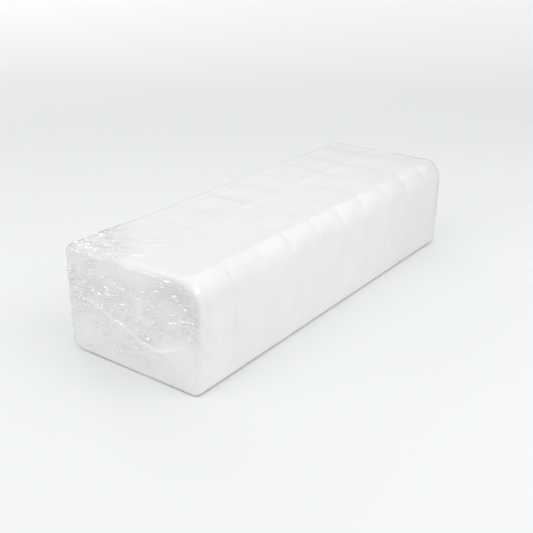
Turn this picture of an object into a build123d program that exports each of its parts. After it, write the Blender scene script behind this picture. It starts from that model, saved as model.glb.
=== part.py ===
from build123d import *
import os

# A sealed pack of gymnastics chalk: ten pressed blocks stand on edge in a row
# along Y, inside one clear shrink film. Millimetres, +Z up. The origin is on
# the surface that the pack lies on, under its middle. -Y is the front end.

# Chalk blocks
block_width = 70.1
block_height = 47.0
block_rim_radius = 2.0
# The long corners differ: the top right one is broad, the others are tighter.
top_right_radius = 8.0
top_left_radius = 4.0
low_left_radius = 5.0
low_right_radius = 2.5
# The blocks are cut by hand, so each has its own thickness, front to rear.
block_thickness = [22.5, 20.5, 20.5, 20.5, 20.5, 21.0, 21.0, 20.5, 20.5, 20.5]

# Shrink film
film_thickness = 0.1
film_clearance = 0.1
# The tube's edges overlap along the top, from the left corner to this edge.
lap_seam_width = 24.0
lap_seam_edge = -5.0
end_seal_height = 5.0
end_seal_layers = 2

row_length = sum(block_thickness)
row_front = -row_length / 2

# The film's inside stands clear of the blocks at the sides, the top and the
# ends, and the blocks rest on its floor.
inner_width = block_width + 2 * film_clearance
inner_height = block_height + film_clearance
inner_length = row_length + 2 * film_clearance
outer_width = inner_width + 2 * film_thickness
outer_height = inner_height + 2 * film_thickness
outer_length = inner_length + 2 * film_thickness
inner_middle = film_thickness + inner_height / 2


def block_section(width, height, growth):
    """A rectangle whose four corners each have their own radius, plus growth."""
    corners = [
        (width / 2, height / 2, top_right_radius),
        (-width / 2, height / 2, top_left_radius),
        (-width / 2, -height / 2, low_left_radius),
        (width / 2, -height / 2, low_right_radius),
    ]
    with BuildSketch() as section:
        Rectangle(width, height)
        for x, y, radius in corners:
            fillet(section.vertices().sort_by_distance((x, y, 0))[0], radius + growth)
    return section.sketch


def rounded_bar(width, height, length, growth, middle_height):
    """A bar along Y, centred on X and Y, as much rounder than a block as it has grown."""
    rim_radius = block_rim_radius + growth
    with BuildPart() as bar:
        with BuildSketch(Plane.XZ.offset(-length / 2)):
            with Locations((0, middle_height)):
                add(block_section(width, height, growth))
        extrude(amount=length)
        rims = bar.faces().sort_by(Axis.Y)[0].edges() + bar.faces().sort_by(Axis.Y)[-1].edges()
        fillet(rims, rim_radius)
    return bar.part


def chalk_block(thickness, front):
    """One chalk block whose front face is at Y = front."""
    with BuildPart() as block:
        with BuildSketch(Plane.XZ.offset(-front)):
            with Locations((0, film_thickness + block_height / 2)):
                add(block_section(block_width, block_height, 0))
        extrude(amount=-thickness)
        rims = block.faces().sort_by(Axis.Y)[0].edges() + block.faces().sort_by(Axis.Y)[-1].edges()
        fillet(rims, block_rim_radius)
    return block.part


os.makedirs("parts", exist_ok=True)

# The row of blocks, front to rear
front = row_front
for number, thickness in enumerate(block_thickness, start=1):
    name = f"block_{number:02d}"
    block_part = chalk_block(thickness, front)
    block_part.label = name
    export_step(block_part, f"parts/{name}.step")
    front += thickness

# The film: a closed skin round the row, with the tube's lap seam along the
# top and its two end seals folded flat against the end faces
skin_outside = rounded_bar(
    outer_width,
    outer_height,
    outer_length,
    film_clearance + film_thickness,
    inner_middle,
)
skin_inside = rounded_bar(
    inner_width,
    inner_height,
    inner_length,
    film_clearance,
    inner_middle,
)
flat_length = outer_length - 2 * (block_rim_radius + film_clearance + film_thickness)
flat_width = outer_width - 2 * (top_right_radius + film_clearance + film_thickness)
end_seal_depth = end_seal_layers * film_thickness

with BuildPart() as shrink_film:
    add(skin_outside)
    with BuildSketch(Plane.XY.offset(outer_height)):
        with Locations((lap_seam_edge - lap_seam_width / 2, 0)):
            Rectangle(lap_seam_width, flat_length)
    extrude(amount=film_thickness)
    for seal_plane in (
        Plane.XZ.offset(outer_length / 2),
        Plane(origin=(0, outer_length / 2, 0), x_dir=(-1, 0, 0), z_dir=(0, 1, 0)),
    ):
        with BuildSketch(seal_plane):
            with Locations((0, inner_middle)):
                Rectangle(flat_width, end_seal_height)
        extrude(amount=end_seal_depth)
    add(skin_inside, mode=Mode.SUBTRACT)
shrink_film.part.label = "shrink_film"
export_step(shrink_film.part, "parts/shrink_film.step")
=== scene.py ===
import math

import bpy
import numpy as np
from mathutils import Matrix, Vector


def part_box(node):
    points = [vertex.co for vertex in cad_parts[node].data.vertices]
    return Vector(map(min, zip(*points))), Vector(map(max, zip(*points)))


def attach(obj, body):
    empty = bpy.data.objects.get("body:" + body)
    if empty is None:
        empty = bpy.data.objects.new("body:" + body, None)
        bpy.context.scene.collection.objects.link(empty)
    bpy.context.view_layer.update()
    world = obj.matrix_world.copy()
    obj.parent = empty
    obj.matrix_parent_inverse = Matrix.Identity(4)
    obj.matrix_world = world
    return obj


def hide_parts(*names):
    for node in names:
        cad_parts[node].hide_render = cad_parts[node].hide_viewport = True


# A pack of gymnastics chalk: ten pressed blocks stand in a row along Y inside
# one clear shrink film. Lengths are in millimetres until a mesh is made, +Z is
# up, -Y is the front end and +X is the right side.

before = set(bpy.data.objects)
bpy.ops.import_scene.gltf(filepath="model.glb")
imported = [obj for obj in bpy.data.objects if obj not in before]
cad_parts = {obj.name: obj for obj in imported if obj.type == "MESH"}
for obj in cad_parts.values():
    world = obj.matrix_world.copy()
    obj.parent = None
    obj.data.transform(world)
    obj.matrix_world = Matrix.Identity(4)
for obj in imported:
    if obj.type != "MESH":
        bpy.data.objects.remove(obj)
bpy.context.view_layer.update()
MM = 0.001

BLOCKS = sorted(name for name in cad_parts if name.startswith("block_"))
FILM = "shrink_film"


def box_mm(node):
    low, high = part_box(node)
    return np.array(low) / MM, np.array(high) / MM


film_low, film_high = box_mm(FILM)
pack_length = film_high[1] - film_low[1]


# ---------------------------------------------------------------- camera

camera_azimuth = math.radians(35.56)
camera_elevation = math.radians(23.22)
camera_roll = math.radians(0.68)
camera_lens = 55.59
camera_distance = 1.9518 * pack_length * MM
camera_target = Vector((-0.0269, -0.0193, 0.0498)) * pack_length * MM


def make_camera():
    data = bpy.data.cameras.new("camera")
    data.lens = camera_lens
    data.sensor_width = 36.0
    data.clip_start = 0.01
    data.clip_end = 50.0
    camera = bpy.data.objects.new("camera", data)
    bpy.context.scene.collection.objects.link(camera)
    level = math.cos(camera_elevation)
    back = Vector((
        math.sin(camera_azimuth) * level,
        -math.cos(camera_azimuth) * level,
        math.sin(camera_elevation),
    ))
    camera.location = camera_target + back * camera_distance
    right = Vector((0, 0, 1)).cross(back).normalized()
    up = back.cross(right)
    right_rolled = right * math.cos(camera_roll) + up * math.sin(camera_roll)
    up_rolled = up * math.cos(camera_roll) - right * math.sin(camera_roll)
    camera.rotation_mode = "QUATERNION"
    turn = np.array([right_rolled, up_rolled, back]).T
    camera.rotation_quaternion = Matrix(turn.tolist()).to_quaternion()
    bpy.context.scene.camera = camera


make_camera()


# ---------------------------------------------------------------- small helpers

def smooth(low, high, value):
    """0 below low, 1 above high, and a smooth step between them."""
    t = np.clip((np.asarray(value, float) - low) / (high - low), 0.0, 1.0)
    return t * t * (3.0 - 2.0 * t)


def between(low, high, value, soft):
    """1 between low and high, fading to 0 over soft outside them."""
    return smooth(low - soft, low, value) * (1.0 - smooth(high, high + soft, value))


def lattice_turn(ix, iy, seed):
    """A repeatable angle for each lattice point."""
    h = (ix * 374761393 + iy * 668265263 + seed * 2147483647) & 0xFFFFFFFF
    h = ((h ^ (h >> 13)) * 1274126177) & 0xFFFFFFFF
    h = (h ^ (h >> 16)) & 0xFFFFFFFF
    return h / 4294967296.0 * 2.0 * math.pi


def noise(x, y, seed):
    """Gradient noise, about -1 to 1, on arrays of the same shape."""
    x0 = np.floor(x)
    y0 = np.floor(y)
    fx = x - x0
    fy = y - y0
    ix = x0.astype(np.int64)
    iy = y0.astype(np.int64)
    sx = fx * fx * fx * (fx * (fx * 6 - 15) + 10)
    sy = fy * fy * fy * (fy * (fy * 6 - 15) + 10)

    def corner(dx, dy):
        turn = lattice_turn(ix + dx, iy + dy, seed)
        return np.cos(turn) * (fx - dx) + np.sin(turn) * (fy - dy)

    low = corner(0, 0) * (1 - sx) + corner(1, 0) * sx
    high = corner(0, 1) * (1 - sx) + corner(1, 1) * sx
    return 1.5 * (low * (1 - sy) + high * sy)


def ridged(x, y, seed, sharpness=2.0):
    """Sharp crests, 0 to 1, where the noise crosses zero."""
    return np.clip(1.0 - np.abs(noise(x, y, seed)) * 1.6, 0.0, 1.0) ** sharpness


def crease(x, y, points, width, height):
    """A ridge along the line through points, width wide each side."""
    nearest = np.full_like(x, np.inf)
    for (ax, ay), (bx, by) in zip(points[:-1], points[1:]):
        length2 = (bx - ax) ** 2 + (by - ay) ** 2
        t = np.clip(((x - ax) * (bx - ax) + (y - ay) * (by - ay)) / length2, 0.0, 1.0)
        distance = np.hypot(x - ax - t * (bx - ax), y - ay - t * (by - ay))
        nearest = np.minimum(nearest, distance)
    return height * np.exp(-(nearest / width) ** 2)


def walk(half_width, low, high, radii, distance):
    """Points on a rounded rectangle at distances from its top middle, going +X.

    radii are the top right, low right, low left and top left corners'. Returns x, z,
    the outward normal's x and z, and how near the middle of a round corner each point
    is, from 0 on the flats to 1."""
    top_right, low_right, low_left, top_left = radii
    # each flat's start point and direction, and the corner that follows it
    flats = [
        ((0.0, high), (1, 0), top_right),
        ((half_width, high - top_right), (0, -1), low_right),
        ((half_width - low_right, low), (-1, 0), low_left),
        ((-half_width, low + low_left), (0, 1), top_left),
        ((top_left - half_width, high), (1, 0), 0.0),
    ]
    height = high - low
    lengths = [
        half_width - top_right,
        height - top_right - low_right,
        2 * half_width - low_right - low_left,
        height - low_left - top_left,
        half_width - top_left,
    ]
    s = np.mod(distance, girth(half_width, low, high, radii))
    x, z, nx, nz, corner = (np.zeros_like(s) for _ in range(5))
    start = 0.0
    for ((px, pz), (dx, dz), radius), length in zip(flats, lengths):
        here = (s >= start) & (s <= start + length)
        along = s[here] - start
        x[here] = px + dx * along
        z[here] = pz + dz * along
        nx[here] = -dz
        nz[here] = dx
        start += length
        if not radius:
            break
        # the corner turns clockwise, seen from the front
        arc = radius * math.pi / 2
        here = (s > start) & (s < start + arc)
        turn = (s[here] - start) / radius
        centre_x = px + dx * length + dz * radius
        centre_z = pz + dz * length - dx * radius
        nx[here] = -dz * np.cos(turn) + dx * np.sin(turn)
        nz[here] = dx * np.cos(turn) + dz * np.sin(turn)
        x[here] = centre_x + radius * nx[here]
        z[here] = centre_z + radius * nz[here]
        corner[here] = np.sin(turn * 2)
        start += arc
    return x, z, nx, nz, corner


def girth(half_width, low, high, radii):
    """The length once round a rounded rectangle."""
    return 4 * half_width + 2 * (high - low) - (2 - math.pi / 2) * sum(radii)


def grid_mesh(name, points, closed_round=False, caps=False):
    """A mesh object from points[row, column] in millimetres."""
    rows, columns = points.shape[:2]
    number = np.arange(rows * columns).reshape(rows, columns)
    a = number[:-1, :-1]
    b = number[:-1, 1:]
    c = number[1:, 1:]
    d = number[1:, :-1]
    quads = np.stack([a, b, c, d], axis=-1).reshape(-1, 4)
    if closed_round:
        a = number[:-1, -1]
        b = number[:-1, 0]
        c = number[1:, 0]
        d = number[1:, -1]
        quads = np.concatenate([quads, np.stack([a, b, c, d], axis=-1)])
    vertices = points.reshape(-1, 3)
    faces = quads.tolist()
    if caps:
        front = len(vertices)
        middle_front = points[0].mean(axis=0)
        middle_rear = points[-1].mean(axis=0)
        vertices = np.concatenate([vertices, [middle_front, middle_rear]])
        for i in range(columns):
            j = (i + 1) % columns
            faces.append([number[0, j], number[0, i], front])
            faces.append([number[-1, i], number[-1, j], front + 1])
    mesh = bpy.data.meshes.new(name)
    mesh.from_pydata((vertices * MM).tolist(), [], faces)
    mesh.validate()
    mesh.polygons.foreach_set("use_smooth", np.ones(len(mesh.polygons), bool))
    mesh.update()
    piece = bpy.data.objects.new(name, mesh)
    bpy.context.scene.collection.objects.link(piece)
    return piece


# ---------------------------------------------------------------- chalk blocks

# the long corners' radii: top right, low right, low left, top left
corner_radii = (8.0, 2.5, 5.0, 4.0)
# Rims as (inset, reach along the block). Along the top they differ from block to
# block, front to rear. At the top right each block is pressed into a broad arch.
top_front_rims = [
    (1.3, 2.2), (0.5, 3.0), (0.8, 3.5), (0.6, 3.5), (1.1, 3.2),
    (0.9, 4.0), (1.2, 3.8), (1.1, 4.0), (1.5, 5.5), (1.2, 5.0),
]
top_rear_rim = (0.4, 2.0)
side_rim = (0.04, 0.6)
low_rim = (0.15, 1.2)
top_right_rim = (1.8, 8.5)
top_left_rim = (0.6, 5.0)
low_corner_rim = (0.2, 1.5)
# the same at the pack's two ends
front_end_rim = (1.6, 4.6)
front_top_right_rim = (3.0, 4.6)
front_top_left_rim = (1.0, 3.0)
rear_end_rim = (2.4, 4.5)
rear_top_right_rim = (3.6, 5.5)
front_low_corner_rim = (1.1, 2.4)
front_low_rim = (0.35, 0.8)
rear_low_corner_rim = (2.6, 5.0)
rear_low_rim = (1.0, 2.0)

# A block's skin is a grid: this many columns round it, and rows to each half.
skin_columns = 240
skin_half_rows = 15
# It dips gently below the flat: mean depth, swing, and the patches' size and seed.
skin_depth = 0.05
skin_swing = 0.05
skin_patch_around = 17.0
skin_patch_along = 13.0
skin_seed = 77
# The cut faces are rings of these sizes, and are a little hollow.
face_rings = [0.97, 0.9, 0.78, 0.62, 0.44, 0.26, 0.1]
face_depth = 0.04
face_swing = 0.04
face_patch_x = 13.0
face_patch_z = 11.0
first_face_seed = 150


class Block:
    """One chalk block's place in the row, from its box in the CAD."""

    def __init__(self, name, place):
        self.name = name
        low, high = box_mm(name)
        self.left, self.front, self.low = low
        self.right, self.rear, self.high = high
        self.middle = (self.left + self.right) / 2
        self.half_width = (self.right - self.left) / 2
        self.first = place == 0
        self.last = place == len(BLOCKS) - 1
        self.place = place


blocks = [Block(name, place) for place, name in enumerate(BLOCKS)]


def rim_size(block, nx, nz, corner, at_front):
    """How far a rim is inset, and how far along the block it reaches."""
    top = top_front_rims[block.place] if at_front else top_rear_rim
    side, low = side_rim, low_rim
    top_right, top_left, low_corner = top_right_rim, top_left_rim, low_corner_rim
    if block.first and at_front:
        top = side = front_end_rim
        top_right, top_left = front_top_right_rim, front_top_left_rim
        low_corner, low = front_low_corner_rim, front_low_rim
    if block.last and not at_front:
        top = side = top_left = rear_end_rim
        top_right = rear_top_right_rim
        low_corner, low = rear_low_corner_rim, rear_low_rim
    sizes = []
    for k in range(2):
        level = np.where(nz < 0, low[k], top[k])
        flat = level + (side[k] - level) * nx ** 2
        curved = np.where(nx > 0, top_right[k], top_left[k])
        curved = np.where(nz < 0, low_corner[k], curved)
        sizes.append(flat + (curved - flat) * corner)
    return sizes


def block_inset(block, nx, nz, corner, y):
    """How far the block's skin lies inside its box's outline at y."""
    total = np.zeros(np.broadcast(corner, y).shape)
    for at_front in (True, False):
        inset, reach = rim_size(block, nx, nz, corner, at_front)
        away = (y - block.front) if at_front else (block.rear - y)
        t = np.clip(1.0 - away / reach, 0.0, 1.0)
        total = np.maximum(total, inset * (1.0 - np.sqrt(1.0 - t * t)))
    return total


def make_block(block, material):
    thickness = block.rear - block.front
    part = np.linspace(0.0, 1.0, skin_half_rows + 1)
    near = 0.5 * thickness * part ** 2.0
    ys = np.concatenate([block.front + near, (block.rear - near[:-1])[::-1]])
    perimeter = girth(block.half_width, block.low, block.high, corner_radii)
    s = np.arange(skin_columns) / skin_columns * perimeter
    x, z, nx, nz, corner = walk(block.half_width, block.low, block.high, corner_radii, s)
    inset = block_inset(block, nx[None, :], nz[None, :], corner[None, :], ys[:, None])
    # pressed and hand cut: the sides aren't perfectly flat
    gentle = noise(*np.meshgrid(s / skin_patch_around, ys / skin_patch_along), skin_seed)
    inset = inset + skin_depth + skin_swing * gentle
    px = block.middle + x[None, :] - nx[None, :] * inset
    pz = z[None, :] - nz[None, :] * inset
    pz = np.maximum(pz, block.low)
    py = np.broadcast_to(ys[:, None], px.shape)
    skin = np.stack([px, py, pz], axis=-1)
    # the two cut faces, as rings that close on the middle
    centre_z = (block.low + block.high) / 2
    seed = first_face_seed + block.place
    front_rings = []
    rear_rings = []
    for scale in face_rings:
        for source, store, inward in ((skin[0], front_rings, 1), (skin[-1], rear_rings, -1)):
            ring = source.copy()
            ring[:, 0] = block.middle + (source[:, 0] - block.middle) * scale
            ring[:, 2] = centre_z + (source[:, 2] - centre_z) * scale
            bumps = noise(ring[:, 0] / face_patch_x, ring[:, 2] / face_patch_z, seed)
            ring[:, 1] += inward * (face_depth + face_swing * bumps) * (1 - scale) ** 0.5
            store.append(ring)
    points = np.concatenate([np.array(front_rings[::-1]), skin, np.array(rear_rings)])
    piece = grid_mesh("chalk_" + block.name, points, closed_round=True, caps=True)
    piece.data.materials.append(material)
    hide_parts(block.name)
    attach(piece, "root")


# ---------------------------------------------------------------- film shape

film_clearance = 0.15
# The film bridges the seams: how far it reaches to each side of one, and how deep
# it dips there at most, on the flats and round the top right corner. This near to
# the pack's ends it lies on the rims instead.
bridge_reach = 2.0
seam_dip_flat = 0.06
seam_dip_corner = 1.25
end_reach = 6.0
# Where the film turns onto an end, each side is drawn in by this much.
end_draw_in = 0.012
# The tube's edges lap on top: the inner edge lies left of the outer one.
lap_inner_edge = -30.5
lap_outer_edge = -5.0
lap_rise = 0.06
# Each end's seal spans this share of the end. Its fin hangs down from it, with a
# gap between its layers, and stands out where it is crumpled.
seal_share = 0.9
seal_fin = 1.6
fin_gap = 0.03
fin_stand = 0.25
crumpled_from = -9
crumpled_to = 17
# the film's grid: between columns, and the rows of a fin, an end and its rim
column_spacing = 0.62
seal_steps = 4
face_steps = 48
rim_steps = 7
# The visual film never comes closer to the floor than this.
floor_gap = 0.02

row_front = blocks[0].front
row_rear = blocks[-1].rear
row_low = min(block.low for block in blocks)
row_high = max(block.high for block in blocks)
row_half_width = (blocks[0].right - blocks[0].left) / 2
film_girth = girth(row_half_width, row_low, row_high, corner_radii)

# Seals, folds and wrinkles are laid out on an end of this width and height, and
# are scaled to the film's own.
layout_width = 76.0
layout_height = 50.4
to_layout_x = layout_width / (film_high[0] - film_low[0])
to_layout_z = layout_height / (film_high[2] - film_low[2])

# Where an end's seal lies: (across, height), as seen in the X-Z plane.
front_seal = [
    (-38, 27), (-24, 27), (-17, 25), (-8, 21), (0, 18), (8, 14.5), (17, 15), (28, 20), (38, 26),
]
rear_seal = [
    (-38, 24), (-27, 22), (-15, 25), (-4, 28), (7, 27), (19, 22), (30, 23), (38, 27),
]


def row_inset_at(nx, nz, corner, y):
    """How far the row of blocks lies inside its outline at y."""
    for block in blocks:
        if block.front <= y <= block.rear:
            return block_inset(block, nx, nz, corner, y)
    return np.zeros_like(corner)


def film_inset(nx, nz, corner, y):
    """How far the film dips inside the blocks' outline at y: it bridges the seams."""
    here = row_inset_at(nx, nz, corner, y)
    if y < row_front + end_reach or y > row_rear - end_reach:
        return here
    around = [row_inset_at(nx, nz, corner, y + bridge_reach * k / 4) for k in range(-4, 5)]
    eased = np.minimum(here, np.mean(around, axis=0))
    deepest = np.where((nx > 0) & (nz > 0), seam_dip_corner, seam_dip_flat)
    dip = seam_dip_flat + (deepest - seam_dip_flat) * corner
    return dip * (1.0 - np.exp(-eased / dip))


def sleeve_rows():
    """Row positions along Y: close together at the front and at each seam."""
    rows = []
    for block in blocks:
        count = 30 if block.first else (16 if block.last else 10)
        part = np.linspace(-1.0, 1.0, count + 1)[:-1]
        if not block.first:
            part = np.sign(part) * (1.0 - (1.0 - np.abs(part)) ** 1.4)
        middle = (block.front + block.rear) / 2
        rows.extend((middle + part * (block.rear - block.front) / 2).tolist())
    rows = np.array(rows)
    after_front = rows > row_front + front_top_right_rim[1]
    before_rear = rows < row_rear - rear_top_right_rim[1]
    return rows[after_front & before_rear]


def sleeve_outline(x, z, nx, nz, inset, y):
    """One row of the film round the blocks, at y."""
    px = x - nx * (inset - film_clearance)
    pz = z - nz * (inset - film_clearance)
    return np.stack([px, np.broadcast_to(y, px.shape), pz], axis=-1)


def seal_places(s, height_right, height_left):
    """Where each column meets its end's seal, and whether it comes from above.

    The columns are spread evenly along the seal."""
    around = np.linspace(0.0, film_girth, 4001)
    x, z, *_ = walk(row_half_width, row_low, row_high, corner_radii, around)
    margin = 0.1
    far = row_half_width - margin
    elsewhere = 1000
    right = around[np.argmin(np.abs(z - height_right) + elsewhere * (x < far))]
    left = around[np.argmin(np.abs(z - height_left) + elsewhere * (x > -far))]
    bottom = around[np.argmin(np.abs(x) + elsewhere * (z > row_low + margin))]
    reach = seal_share * row_half_width
    s = np.mod(s, film_girth)
    across = np.interp(s, [0, right, bottom, left, film_girth], [0, reach, 0, -reach, 0])
    return across, (s < right) | (s > left)


def end_rows(s, x, z, nx, nz, corner, front):
    """The rows of one end, from its seal's free edge to the sleeve."""
    block = blocks[0] if front else blocks[-1]
    face = row_front if front else row_rear
    outward = -1.0 if front else 1.0
    inset, reach = rim_size(block, nx, nz, corner, front)
    drawn_in = x * (1 - end_draw_in / row_half_width)
    rim_y = face + outward * film_clearance
    rim = sleeve_outline(drawn_in, z, nx, nz, inset + film_clearance, rim_y)
    xs, zs = zip(*(front_seal if front else rear_seal))
    across, upper = seal_places(s, zs[-1] / to_layout_z, zs[0] / to_layout_z)
    height = np.interp(across * to_layout_x, xs, zs) / to_layout_z
    height = height + 0.7 * noise(across / 4.0, across * 0 + 3.3, 21 + front)
    seal = np.stack([across, rim[:, 1], height], axis=-1)
    rows = []
    # Both halves of the fin lie on each other, crumpled against the face.
    crumple = 0.5 + 0.5 * noise(across / 2.2, across * 0 + 7.7, 23 + front)
    for k in range(seal_steps, 0, -1):
        part = k / seal_steps
        fin = seal.copy()
        middle = between(crumpled_from, crumpled_to, across, 3)
        stand = fin_gap + fin_gap * part + fin_stand * middle * crumple * math.sin(part * 2.4)
        fin[:, 1] += outward * (stand + fin_gap * upper)
        fin[:, 2] -= seal_fin * part * (0.25 + 0.75 * crumple * middle)
        rows.append(fin)
    for k in range(face_steps, 0, -1):
        t = k / face_steps
        rows.append(rim * (1 - t) + seal * t)
    for k in range(rim_steps):
        turn = k / rim_steps * math.pi / 2
        away = reach * (1 - math.cos(turn))
        row_inset = inset * (1.0 - math.sin(turn))
        grow = film_clearance * math.sin(turn)
        px = x - nx * (row_inset - grow)
        pz = z - nz * (row_inset - grow)
        py = face - outward * away + outward * film_clearance * math.cos(turn)
        rows.append(np.stack([px, py, pz], axis=-1))
    return rows if front else rows[::-1]


def film_base():
    """The film without wrinkles, as points[row, column], and its columns' places round it."""
    count = int(round((film_girth + lap_outer_edge - lap_inner_edge) / column_spacing))
    s = np.linspace(lap_inner_edge, film_girth + lap_outer_edge, count)
    x, z, nx, nz, corner = walk(row_half_width, row_low, row_high, corner_radii, s)
    rows = end_rows(s, x, z, nx, nz, corner, True)
    for y in sleeve_rows():
        inset = film_inset(nx, nz, corner, y)
        rows.append(sleeve_outline(x, z, nx, nz, inset, y))
    rows += end_rows(s, x, z, nx, nz, corner, False)
    return np.array(rows), s


def outward_normals(points):
    """The film's outward direction at each of points[row, column]."""
    along = np.gradient(points, axis=0)
    across = np.gradient(points, axis=1)
    normal = np.cross(across, along)
    length = np.linalg.norm(normal, axis=-1, keepdims=True)
    return normal / np.maximum(length, 1e-9)


# The shade layer is painted shade: it says how much darker the film is painted over what lies
# under it, up to this.
most_shade = 2.5
# The ends' wrinkles reach this far past the rims, and each end has its own seed.
rim_fade = 2.5
front_seed = 11
rear_seed = 61


def blob(x, y, cx, cy, rx, ry):
    """1 in the middle of an oval patch, fading to 0 outside it."""
    return np.exp(-(((x - cx) / rx) ** 2 + ((y - cy) / ry) ** 2) ** 1.5)


def end_wrinkles(u, w, seed):
    """Wrinkle height, milky haze, crinkle and painted shade on an end face at (u, w)."""
    tilt = math.radians(13)
    warp = 1.5 * noise(u / 9.0, w / 9.0, seed + 1)
    across = -u * math.sin(tilt) + w * math.cos(tilt) + warp
    along = u * math.cos(tilt) + w * math.sin(tilt)
    coarse = ridged(along / 9.0, across / 2.6, seed + 2)
    middle = ridged(along / 6.0, across / 1.7, seed + 3, 1.6)
    broad = noise(along / 14.0, across / 5.0, seed + 4)
    ragged = 3.0 * noise(u / 5.0, w / 5.0, seed + 7)
    ur = u + ragged
    wr = w + ragged
    patchy = smooth(-0.6, 0.5, noise(u / 6.0, w / 3.5, seed + 5))
    middle_band = between(-40, 40, ur, 2) * between(25, 41, wr, 6)
    lower_band = 0.6 * between(-22, 20, ur, 6) * between(8, 26, wr, 5)
    left_edge = 0.5 * between(-40, -25, ur, 4) * between(5, 50, wr, 4)
    top_right = 0.8 * between(14, 32, ur, 5) * between(38, 47, wr, 3)
    mask = np.max([middle_band, lower_band, left_edge, top_right], axis=0)
    mask = np.clip(mask * (0.65 + 0.35 * patchy) + 0.06, 0, 1)
    calm = [
        (-31, 43, 5, 3), (2, 46, 18, 5), (6, 32, 4, 5), (23, 36, 6, 3), (29, 13, 14, 10),
        (-27, 11, 9, 5), (-8, 17, 5, 3),
    ]
    for cu, cw, ru, rw in calm:
        mask = mask * (1 - 0.9 * blob(ur, wr, cu, cw, ru, rw))
    height = mask * (0.30 * coarse + 0.20 * middle) + 0.18 * (1 + broad)
    # folds that stand out on their own
    fans = [
        ([(17, 44), (23, 46.5), (30, 50)], 0.45, 0.6),
        ([(18, 42), (25, 44.5), (31, 47.5)], 0.4, 0.5),
        ([(-20, 47), (-10, 48.5), (0, 49.5)], 0.5, 0.5),
        ([(-24, 46), (-20, 43.5)], 0.5, 0.9),
        ([(-20, 49), (-18, 45)], 0.4, 0.6),
        ([(-4.5, 48), (-8, 41)], 0.6, 0.4),
        ([(25, 46), (30, 45), (34, 41), (36.5, 35), (37, 28)], 0.7, 0.6),
        ([(22, 44), (28, 43), (32, 40), (34, 35)], 0.5, 0.4),
        ([(-12, 13.5), (-5, 15.5)], 0.4, 0.4),
        ([(-13, 10), (0, 12.5)], 0.4, 0.35),
        ([(-4, 7), (4, 9.5)], 0.4, 0.35),
    ]
    for line, width, rise in fans:
        height = np.maximum(height, crease(u, w, line, width, rise))
    # the seal's crumpled ridge
    ridges = [
        ([(-8, 21), (-3, 19.5), (0, 17), (4, 15.5), (6, 13.5)], 1.4, 0.5),
        ([(6, 13.5), (9, 15), (11, 15.5)], 0.9, 0.4),
        ([(4, 20.5), (9, 18.5), (12, 18.5), (14, 15.5), (17, 14.5)], 0.9, 0.5),
    ]
    bright = np.zeros_like(u)
    rough = 0.6 + 0.4 * noise(u / 1.3, w / 1.3, seed + 6)
    for line, width, rise in ridges:
        one = crease(u, w, line, width, 1.0)
        height = height + one * rise * rough
        bright = np.maximum(bright, one)
    spots = [
        (-17, 25.5), (-24, 30), (9, 30.5), (-16.5, 13.5), (27, 42.5), (33, 38), (-22, 45.5),
    ]
    for cu, cw in spots:
        spot = blob(u, w, cu, cw, 1.9, 1.0)
        height = height + 0.15 * spot
        bright = np.maximum(bright, spot)
    # Small dark spots: the shade layer darkens them as far as it goes.
    dark_spots = [(-16.5, 8.7), (33, 37), (29.5, 27), (38.0, 25)]
    darkened_spots = np.max([blob(u, w, cu, cw, 0.9, 0.7) for cu, cw in dark_spots], axis=0)
    # Painted shade: the whole end is darkened, a little more where it is wrinkled, more towards
    # its top and most at its upper right; the seal's ridge and its light spots are left out of
    # it.
    shaded_upper_right = smooth(5, 28, u) * smooth(30, 44, w)
    base_painted_shade = 0.60 + 0.05 * mask + 0.20 * smooth(25, 44, w) + 1.6 * shaded_upper_right
    shade = most_shade * darkened_spots + base_painted_shade * (1 - bright)
    haze = np.clip(0.5 * mask * coarse * middle + 0.9 * bright, 0, 1)
    return height, haze, mask, shade


# Painted shade in a band behind each seam, where the groove between two blocks lies under the
# film:
# (seam, reach, strength on the left, strength on the right)
painted_seam_bands = [
    (-81.0, 3.5, 0.20, 0.30), (-61.0, 4.0, 0.45, 0.50), (-40.5, 4.0, 0.30, 0.35),
    (-19.5, 4.5, 1.20, 0.35), (0.8, 5.5, 0.60, 0.50), (22.0, 4.5, 0.45, 0.75),
    (43.5, 5.0, 0.90, 0.65), (63.3, 7.0, 1.30, 0.85), (84.0, 16.0, 1.10, 0.60),
]
# painted shade: faint dark lines down the right side, at the seams between blocks: (place,
# strength)
painted_seam_lines = [
    (-82.7, 0.5), (-80.5, 0.4), (-60.0, 0.1), (-40.5, 0.12), (-21.0, 0.12),
    (-0.5, 0.4), (21.0, 0.3), (42.0, 0.2), (62.5, 0.35), (83.0, 0.25),
]
painted_seam_line_width = 0.7
# single folds on the right side: (line through (y, z) points, width, rise)
side_folds = [
    ([(-84, 47), (-83.5, 30), (-84.5, 8)], 0.6, 0.5),
    ([(-81.5, 40), (-82, 24), (-81, 5)], 0.5, 0.45),
    ([(-86, 20), (-87.5, 6)], 0.5, 0.4),
    ([(-90, 20), (-87, 30)], 0.6, 0.35),
    ([(-46, 8), (-43, 14), (-40, 19)], 0.7, 0.4),
    ([(-43, 6), (-41.5, 15)], 0.6, 0.3),
    ([(46, 6), (47, 14), (48, 20)], 0.8, 0.45),
    ([(-1.5, 8), (-1.8, 44)], 0.6, 0.25),
    ([(59.5, 12), (59.5, 42)], 0.6, 0.25),
    ([(20, 14), (19.5, 40)], 0.6, 0.18),
]
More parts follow.
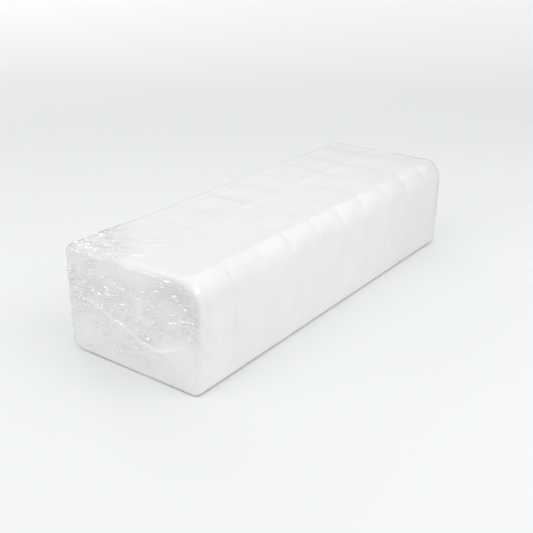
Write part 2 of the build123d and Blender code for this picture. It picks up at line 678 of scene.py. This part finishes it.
# folds on the top, double at two seams: (line through (y, x) points, width, rise)
top_folds = [
    ([(-25.5, -28), (-25, -16), (-24.5, -6)], 0.9, 0.5),
    ([(-21.5, -29), (-21, -16), (-20.5, -8)], 0.8, 0.55),
    ([(-17.5, -33), (-17.5, -18), (-17, -5)], 0.9, 0.5),
    ([(-24.5, -5), (-20, -4), (-16, -6.5)], 0.7, 0.5),
    ([(19.5, -30), (20, -18)], 0.9, 0.5),
    ([(12, -24), (12.5, -17)], 0.8, 0.3),
    ([(16, -28), (16.5, -12)], 0.9, 0.4),
    ([(14, -3), (19, -4.5), (25, -3)], 0.9, 0.3),
    ([(-88, -10), (-78, 0)], 1.0, 0.3),
    ([(-82, -12), (-74, -3)], 1.0, 0.3),
    ([(-55, -28), (-52, -18), (-54, -8)], 1.0, 0.25),
    ([(-50, -30), (-48, -20)], 0.9, 0.25),
    ([(-96, -4), (-94.5, -2)], 1.1, 0.5),
    ([(-40, -3.5), (-22, -4.5)], 0.6, 0.12),
]


def groove_shade(y, x):
    """How much painted shade the film on the top gets."""
    # Painted shade: darker towards the rear, more so on the left, and in a band behind each
    # seam.
    total = smooth(10, 104, y) * (0.6 + 0.3 * smooth(10, -38, x))
    wander = 0.8 * noise(x / 12.0, y / 30.0, 71)
    for seam, reach, left, right in painted_seam_bands:
        strength = left + (right - left) * smooth(-16, 8, x)
        strength = strength * (1 - smooth(26, 33, x)) * (0.8 + 0.2 * noise(x / 7.0, y / 5.0, 72))
        away = y - seam - wander
        fade = smooth(-0.6, 0.9, away) * (1 - smooth(0.35 * reach, reach, away))
        total = total + strength * fade
    return total


def sleeve_wrinkles(y, x, z, s):
    """Wrinkle height, haze, crinkle and painted shade on the film's long sides."""
    from_front = y - row_front
    from_rear = row_rear - y
    top = smooth(row_high - 6, row_high - 2, z)
    bottom = 1 - smooth(row_low + 1, row_low + 6, z)
    right = smooth(row_half_width - 6, row_half_width - 1, x)
    left = smooth(row_half_width - 6, row_half_width - 1, -x)
    x = x * to_layout_x
    z = z * to_layout_z
    warp = 2.2 * noise(y / 8.0, s / 8.0, 31)
    # the crumpled front left corner of the top, and a like one below and at the rear
    edge = 36 - 0.8 * (x + 34)
    front_top = top * between(-37, -8, x, 5) * (1 - smooth(edge - 14, edge + 4, from_front))
    rear_top = top * between(8, 36, x, 6) * (1 - smooth(6, 16, from_rear))
    front_low = bottom * between(-30, 30, x, 8) * (1 - smooth(8, 20, from_front))
    rear_low = bottom * between(-30, 30, x, 8) * (1 - smooth(8, 20, from_rear))
    strokes = ridged((y + 0.3 * x + warp) / 7.0, (x - 0.35 * y + warp) / 2.5, 41, 1.5)
    tangled = 0.55 * strokes + 0.35 * ridged((y + warp) / 3.6, (x + 0.4 * y) / 2.6, 40)
    patches = np.clip(front_top + 0.5 * rear_top + 0.5 * front_low + 0.5 * rear_low, 0, 1)
    patches = patches * (0.55 + 0.45 * smooth(-0.4, 0.4, noise(y / 6.0, s / 6.0, 39)))
    height = patches * tangled
    # crumples next to the ends, where the sides' film folds in
    sides = [
        (right, from_front, 10, 16, 42, 43), (left, from_front, 12, 14, 42, 45),
        (right, from_rear, 9, 12, 40, 47), (left, from_rear, 12, 12, 40, 49),
    ]
    crumples = np.zeros_like(y)
    for side, away, reach, low, high, seed in sides:
        ragged = 3.5 * noise(y / 4.0, z / 5.0, seed + 2)
        here = side * between(-8, reach * 0.5, away + ragged, reach * 0.6)
        here = here * between(low + 4, high - 6, z + ragged, 9)
        broad = ridged(y / 6.0, z / 2.4, seed)
        fine = ridged(y / 2.6, z / 1.4, seed + 1)
        height = height + here * (0.36 * broad + 0.18 * fine)
        crumples = np.maximum(crumples, 0.55 * here)
    for line, width, rise in side_folds:
        height = height + right * crease(y, z, line, width, rise)
    for line, width, rise in top_folds:
        height = height + top * crease(y, x, line, width, rise)
    crinkle = np.clip(0.3 * patches + 0.4 * crumples, 0, 1)
    glints = smooth(0.66, 0.92, strokes) * smooth(-0.1, 0.3, noise(y / 4.0, x / 2.0, 44))
    haze = np.clip(patches * (0.2 * strokes + glints) + 0.1 * crumples, 0, 1)
    # Painted shade: the seams' bands on the top, the crumpled patches except their glints, and
    # the right side darker towards the rear.
    shade = top * groove_shade(y, x) + patches * (1 - glints) + 0.85 * right * smooth(12, 100, y)
    # the painted dark lines at the side's seams
    for place, strength in painted_seam_lines:
        line = np.exp(-(((y - place) / painted_seam_line_width) ** 2))
        shade = shade + right * strength * line * between(6, 44, z, 3)
    return height, haze, crinkle, shade


def add_layer(mesh, name, values):
    """Stores a value per vertex, which the film's material reads by name."""
    layer = mesh.attributes.new(name, "FLOAT", "POINT")
    layer.data.foreach_set("value", values.reshape(-1).astype(np.float32))


def make_film(material):
    points, s = film_base()
    normals = outward_normals(points)
    x, y, z = (points[..., k] for k in range(3))
    around = np.broadcast_to(s[None, :], x.shape)
    # the ends' wrinkles fade out round the rims, where the long sides' take over
    on_front = 1 - smooth(row_front - 0.05, row_front + rim_fade, y)
    on_rear = smooth(row_rear - rim_fade, row_rear + 0.05, y)
    on_sleeve = 1 - 0.6 * on_front - 0.6 * on_rear
    front = end_wrinkles(x * to_layout_x, z * to_layout_z, front_seed)
    rear = end_wrinkles(-x * to_layout_x, z * to_layout_z + 1.0, rear_seed)
    sleeve = sleeve_wrinkles(y, x, z, around)
    height, haze, crinkle, shade = (
        front[k] * on_front + rear[k] * on_rear + sleeve[k] * on_sleeve for k in range(4)
    )
    lap = smooth(film_girth + lap_inner_edge - 1.0, film_girth + lap_inner_edge + 1.0, around)
    height = height + lap_rise * lap
    # the seal's fin rides on the face it is pressed against
    normals[:seal_steps + 1] = normals[seal_steps + 1]
    normals[-seal_steps - 1:] = normals[-seal_steps - 2]
    moved = points + normals * height[..., None]
    moved[..., 2] = np.maximum(moved[..., 2], film_low[2] + floor_gap)
    piece = grid_mesh("shrink_film_sheet", moved)
    add_layer(piece.data, "haze", np.clip(haze, 0, 1))
    add_layer(piece.data, "crinkle", np.clip(crinkle, 0, 1))
    # Where the lap's two layers cling together, the inner one can't be seen.
    hidden = 1 - smooth(lap_outer_edge - 0.3, lap_outer_edge + 0.3, around)
    # The seal's fin clings to the face in the same way.
    hidden[:seal_steps + 2] = 1.0
    hidden[-seal_steps - 2:] = 1.0
    add_layer(piece.data, "cling", hidden)
    # the painted shade, which the film's material turns into a darker see-through colour
    add_layer(piece.data, "shade", np.clip(shade, 0, most_shade))
    piece.data.materials.append(material)
    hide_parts(FILM)
    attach(piece, "root")


# ---------------------------------------------------------------- materials

def new_material(name):
    """An empty node material, its node tree and its output node."""
    material = bpy.data.materials.new(name)
    material.use_nodes = True
    tree = material.node_tree
    tree.nodes.clear()
    output = tree.nodes.new("ShaderNodeOutputMaterial")
    return material, tree, output


def add_noise(tree, vector, scale, detail, roughness=0.5, distortion=0.0):
    node = tree.nodes.new("ShaderNodeTexNoise")
    node.inputs["Scale"].default_value = scale
    node.inputs["Detail"].default_value = detail
    node.inputs["Roughness"].default_value = roughness
    node.inputs["Distortion"].default_value = distortion
    tree.links.new(vector, node.inputs["Vector"])
    return node.outputs["Fac"]


def ramp(tree, factor, stops):
    """A colour ramp through stops of (position, colour)."""
    node = tree.nodes.new("ShaderNodeValToRGB")
    elements = node.color_ramp.elements
    while len(elements) < len(stops):
        elements.new(0.5)
    for element, (position, colour) in zip(elements, stops):
        element.position = position
        element.color = (*colour, 1.0)
    tree.links.new(factor, node.inputs["Fac"])
    return node.outputs["Color"]


def calculate(tree, operation, a, b=None, clamp=False):
    """A math node on numbers or sockets."""
    node = tree.nodes.new("ShaderNodeMath")
    node.operation = operation
    node.use_clamp = clamp
    for socket, value in zip(node.inputs, (a, b)):
        if isinstance(value, (int, float)):
            socket.default_value = value
        elif value is not None:
            tree.links.new(value, socket)
    return node.outputs[0]


def turned(tree, vector, rotation, scale):
    """vector turned by rotation, then scaled."""
    for turn, size in ((rotation, (1, 1, 1)), ((0, 0, 0), scale)):
        node = tree.nodes.new("ShaderNodeMapping")
        node.inputs["Rotation"].default_value = turn
        node.inputs["Scale"].default_value = size
        tree.links.new(vector, node.inputs["Vector"])
        vector = node.outputs["Vector"]
    return vector


def thin_lines(tree, field, narrow):
    """1 on thin lines where the noise passes its middle value, 0 between them."""
    off = calculate(tree, "ABSOLUTE", calculate(tree, "SUBTRACT", field, 0.5))
    return calculate(tree, "SUBTRACT", 1.0, calculate(tree, "MULTIPLY", off, narrow), clamp=True)


chalk_dark = (0.882, 0.887, 0.873)
chalk_light = (0.927, 0.930, 0.917)


def chalk_material():
    material, tree, output = new_material("pressed_chalk")
    place = tree.nodes.new("ShaderNodeTexCoord").outputs["Object"]
    shader = tree.nodes.new("ShaderNodeBsdfPrincipled")
    shader.inputs["Roughness"].default_value = 0.95
    shader.inputs["Specular IOR Level"].default_value = 0.25
    cloudy = add_noise(tree, place, 60.0, 5.0, 0.6)
    colour = ramp(tree, cloudy, [(0.3, chalk_dark), (0.7, chalk_light)])
    tree.links.new(colour, shader.inputs["Base Color"])
    grain = add_noise(tree, place, 1500.0, 4.0, 0.65)
    dents = add_noise(tree, place, 260.0, 3.0, 0.5)
    total = calculate(tree, "ADD", calculate(tree, "MULTIPLY", grain, 0.4), dents)
    bump = tree.nodes.new("ShaderNodeBump")
    bump.inputs["Strength"].default_value = 0.25
    bump.inputs["Distance"].default_value = 0.0004
    tree.links.new(total, bump.inputs["Height"])
    tree.links.new(bump.outputs["Normal"], shader.inputs["Normal"])
    tree.links.new(shader.outputs["BSDF"], output.inputs["Surface"])
    return material


def layer_value(tree, name):
    """The film's layer of that name, as a socket."""
    node = tree.nodes.new("ShaderNodeAttribute")
    node.attribute_name = name
    return node.outputs["Fac"]


# Clear film, seen head on and at a slant: how much of it is mirror, and how milky
# it is. Where it is crumpled, there is more of both.
mirror_head_on = 0.08
mirror_at_slant = 0.80
mirror_crumpled = 0.3
milky_plain = 0.03
milky_crumpled = 0.25
gloss_roughness = 0.10
milky_colour = (0.93, 0.935, 0.93)
# the see-through part's colour, which carries the painted shade: unshaded, and at the deepest
# painted shade
untinted = (1.0, 1.0, 1.0)
deepest_painted_shade = (0.90, 0.905, 0.895)
# fine wrinkles: (lean in degrees, scale along X, Y and Z); the first ones are bumps and painted
# dark crease lines, the last ones are painted lighter lines, more mirror-like and milky
fine_wrinkles = [(12, (85, 420, 400)), (17, (140, 500, 620)), (9, (110, 450, 480))]
line_narrowness = 16.0


def film_material():
    material, tree, output = new_material("clear_shrink_film")
    links = tree.links
    place = tree.nodes.new("ShaderNodeTexCoord").outputs["Object"]
    haze = layer_value(tree, "haze")
    crinkle = layer_value(tree, "crinkle")
    # long and narrow, rising to the right on the ends
    found = []
    for lean, scale in fine_wrinkles:
        leaning = turned(tree, place, (0, math.radians(lean), 0), scale)
        wrinkles = add_noise(tree, leaning, 1.0, 1.5, 0.5, 0.4)
        thin = thin_lines(tree, wrinkles, line_narrowness)
        found.append(calculate(tree, "MULTIPLY", thin, crinkle))
    lines = calculate(tree, "MAXIMUM", found[0], found[1])
    light_lines = found[2]
    faint = add_noise(tree, place, 120.0, 2.0, 0.5)
    height = calculate(tree, "ADD", lines, calculate(tree, "MULTIPLY", faint, 0.3))
    bump = tree.nodes.new("ShaderNodeBump")
    bump.inputs["Strength"].default_value = 0.6
    bump.inputs["Distance"].default_value = 0.00025
    links.new(height, bump.inputs["Height"])
    # more mirror and less see-through at a slant, the same from both sides
    facing = tree.nodes.new("ShaderNodeLayerWeight")
    facing.inputs["Blend"].default_value = 0.5
    links.new(bump.outputs["Normal"], facing.inputs["Normal"])
    steep = calculate(tree, "POWER", facing.outputs["Facing"], 4.0)
    steep = calculate(tree, "MULTIPLY", steep, mirror_at_slant)
    mirror = calculate(tree, "ADD", steep, mirror_head_on, clamp=True)
    # where the film is crumpled, several layers of it lie on each other
    light = calculate(tree, "MULTIPLY", light_lines, 1.5)
    crumpled = calculate(tree, "ADD", haze, light)
    more = calculate(tree, "MULTIPLY", crumpled, mirror_crumpled)
    mirror = calculate(tree, "ADD", mirror, more, clamp=True)
    # a layer that clings to the one under it can't be told from it
    seen = calculate(tree, "SUBTRACT", 1.0, layer_value(tree, "cling"))
    mirror = calculate(tree, "MULTIPLY", mirror, seen)
    # Painted shade: the see-through part is darkened along the fine crease lines and by the
    # shade layer, and painted lighter along the light lines.
    clear = tree.nodes.new("ShaderNodeBsdfTransparent")
    painted_darkening = calculate(tree, "MULTIPLY", lines, 0.6)
    painted_darkening = calculate(tree, "ADD", painted_darkening, layer_value(tree, "shade"))
    painted_darkening = calculate(tree, "SUBTRACT", painted_darkening, calculate(tree, "MULTIPLY", light_lines, 0.6))
    painted_darkening = calculate(tree, "MULTIPLY", painted_darkening, seen)
    painted_darkening = calculate(tree, "MULTIPLY", painted_darkening, 1.0 / most_shade, clamp=True)
    painted_shade_colour = ramp(tree, painted_darkening, [(0.0, untinted), (1.0, deepest_painted_shade)])
    links.new(painted_shade_colour, clear.inputs["Color"])
    gloss = tree.nodes.new("ShaderNodeBsdfGlossy")
    gloss.inputs["Roughness"].default_value = gloss_roughness
    links.new(bump.outputs["Normal"], gloss.inputs["Normal"])
    milky = tree.nodes.new("ShaderNodeBsdfDiffuse")
    milky.inputs["Color"].default_value = (*milky_colour, 1.0)
    links.new(bump.outputs["Normal"], milky.inputs["Normal"])
    body = tree.nodes.new("ShaderNodeMixShader")
    milkiness = calculate(tree, "MULTIPLY", crumpled, milky_crumpled)
    milkiness = calculate(tree, "ADD", milkiness, milky_plain, clamp=True)
    milkiness = calculate(tree, "MULTIPLY", milkiness, seen)
    links.new(milkiness, body.inputs["Fac"])
    links.new(clear.outputs[0], body.inputs[1])
    links.new(milky.outputs[0], body.inputs[2])
    whole = tree.nodes.new("ShaderNodeMixShader")
    links.new(mirror, whole.inputs["Fac"])
    links.new(body.outputs[0], whole.inputs[1])
    links.new(gloss.outputs[0], whole.inputs[2])
    links.new(whole.outputs[0], output.inputs["Surface"])
    return material


# ---------------------------------------------------------------- stage and light

# in metres: where the floor starts and begins to bend up, and the sweep's size
floor_start = -3.0
bend_start = 0.36
bend_radius = 0.9
bend_steps = 24
sweep_height = 3.0
sweep_half_width = 4.0
# Painted light and shade: the paper greys from the front of the floor to where it bends up
# behind the pack, is lighter up the wall, and greyer again high up.
floor_paper = (0.822, 0.830, 0.830)
shaded_bend_paper = (0.760, 0.768, 0.764)
lit_wall_paper = (0.908, 0.913, 0.912)
shaded_high_paper = (0.820, 0.828, 0.828)


def make_stage():
    """A floor that sweeps up behind the pack, square to the camera."""
    away = Vector((-math.sin(camera_azimuth), math.cos(camera_azimuth), 0))
    side = Vector((math.cos(camera_azimuth), math.sin(camera_azimuth), 0))
    profile = [(floor_start, 0.0), (-1.5, 0.0), (-0.5, 0.0), (0.2, 0.0), (bend_start, 0.0)]
    for k in range(1, bend_steps + 1):
        turn = k / bend_steps * math.pi / 2
        depth = bend_start + bend_radius * math.sin(turn)
        profile.append((depth, bend_radius * (1 - math.cos(turn))))
    profile.append((bend_start + bend_radius, sweep_height))
    vertices = []
    faces = []
    for k, (depth, height) in enumerate(profile):
        for edge in (-sweep_half_width, sweep_half_width):
            point = away * depth + side * edge
            vertices.append((point.x, point.y, height))
        if k:
            faces.append((2 * k - 2, 2 * k - 1, 2 * k + 1, 2 * k))
    mesh = bpy.data.meshes.new("sweep")
    mesh.from_pydata(vertices, [], faces)
    mesh.polygons.foreach_set("use_smooth", np.ones(len(faces), bool))
    floor = bpy.data.objects.new("sweep", mesh)
    bpy.context.scene.collection.objects.link(floor)
    material, tree, output = new_material("pale_paper")
    shader = tree.nodes.new("ShaderNodeBsdfPrincipled")
    shader.inputs["Roughness"].default_value = 0.9
    shader.inputs["Specular IOR Level"].default_value = 0.2
    place = tree.nodes.new("ShaderNodeTexCoord").outputs["Object"]
    # how far back a point of the paper lies, scaled into the ramp's 0 to 1
    depth = tree.nodes.new("ShaderNodeVectorMath")
    depth.operation = "DOT_PRODUCT"
    depth.inputs[1].default_value = away
    tree.links.new(place, depth.inputs[0])
    depth = calculate(tree, "MULTIPLY", depth.outputs["Value"], 0.8)
    depth = calculate(tree, "ADD", depth, 0.1, clamp=True)
    colour = ramp(tree, depth, [
        (0.1, floor_paper), (0.35, shaded_bend_paper), (0.47, shaded_bend_paper),
        (0.70, lit_wall_paper), (0.88, lit_wall_paper), (0.97, shaded_high_paper),
    ])
    tree.links.new(colour, shader.inputs["Base Color"])
    tree.links.new(shader.outputs["BSDF"], output.inputs["Surface"])
    mesh.materials.append(material)


# Each lamp's name, place in metres, width, height and power in watts. All of them
# face the pack. The three small ones put glints on the film's wrinkles.
softboxes = [
    ("top", (0.00, -0.30, 0.65), 0.5, 0.5, 0.50),
    ("right_high", (0.55, 0.05, 0.60), 0.5, 0.5, 1.20),
    ("rear", (-0.15, 0.80, 1.10), 1.9, 1.0, 2.0),
    ("left_glint", (-0.86, 0.38, 0.50), 0.2, 0.2, 0.6),
    ("front_glint", (-0.30, -1.05, 0.50), 0.2, 0.2, 0.5),
    ("end_glint", (-0.79, -0.87, 0.22), 0.25, 0.25, 1.0),
    ("low_front", (-0.10, -1.30, 0.30), 1.6, 0.5, 0.08),
]
world_colour = (0.978, 0.986, 0.998)
world_strength = 0.85


def add_softbox(name, place, width, height, power):
    data = bpy.data.lights.new(name, "AREA")
    data.shape = "RECTANGLE"
    data.size = width
    data.size_y = height
    data.energy = power
    lamp = bpy.data.objects.new(name, data)
    bpy.context.scene.collection.objects.link(lamp)
    lamp.location = place
    lamp.rotation_mode = "QUATERNION"
    lamp.rotation_quaternion = Vector(place).to_track_quat("Z", "Y")
    lamp.visible_camera = False


def make_lights():
    for softbox in softboxes:
        add_softbox(*softbox)
    world = bpy.data.worlds.new("studio")
    bpy.context.scene.world = world
    world.use_nodes = True
    background = world.node_tree.nodes["Background"]
    background.inputs["Color"].default_value = (*world_colour, 1.0)
    background.inputs["Strength"].default_value = world_strength


def set_view():
    scene = bpy.context.scene
    scene.view_settings.view_transform = "Standard"
    scene.view_settings.look = "None"
    scene.view_settings.exposure = 0.0
    scene.view_settings.gamma = 1.0
    scene.cycles.max_bounces = 12
    scene.cycles.diffuse_bounces = 6
    scene.cycles.glossy_bounces = 4
    scene.cycles.transparent_max_bounces = 24


chalk = chalk_material()
film = film_material()
for block in blocks:
    make_block(block, chalk)
make_film(film)
make_stage()
make_lights()
set_view()
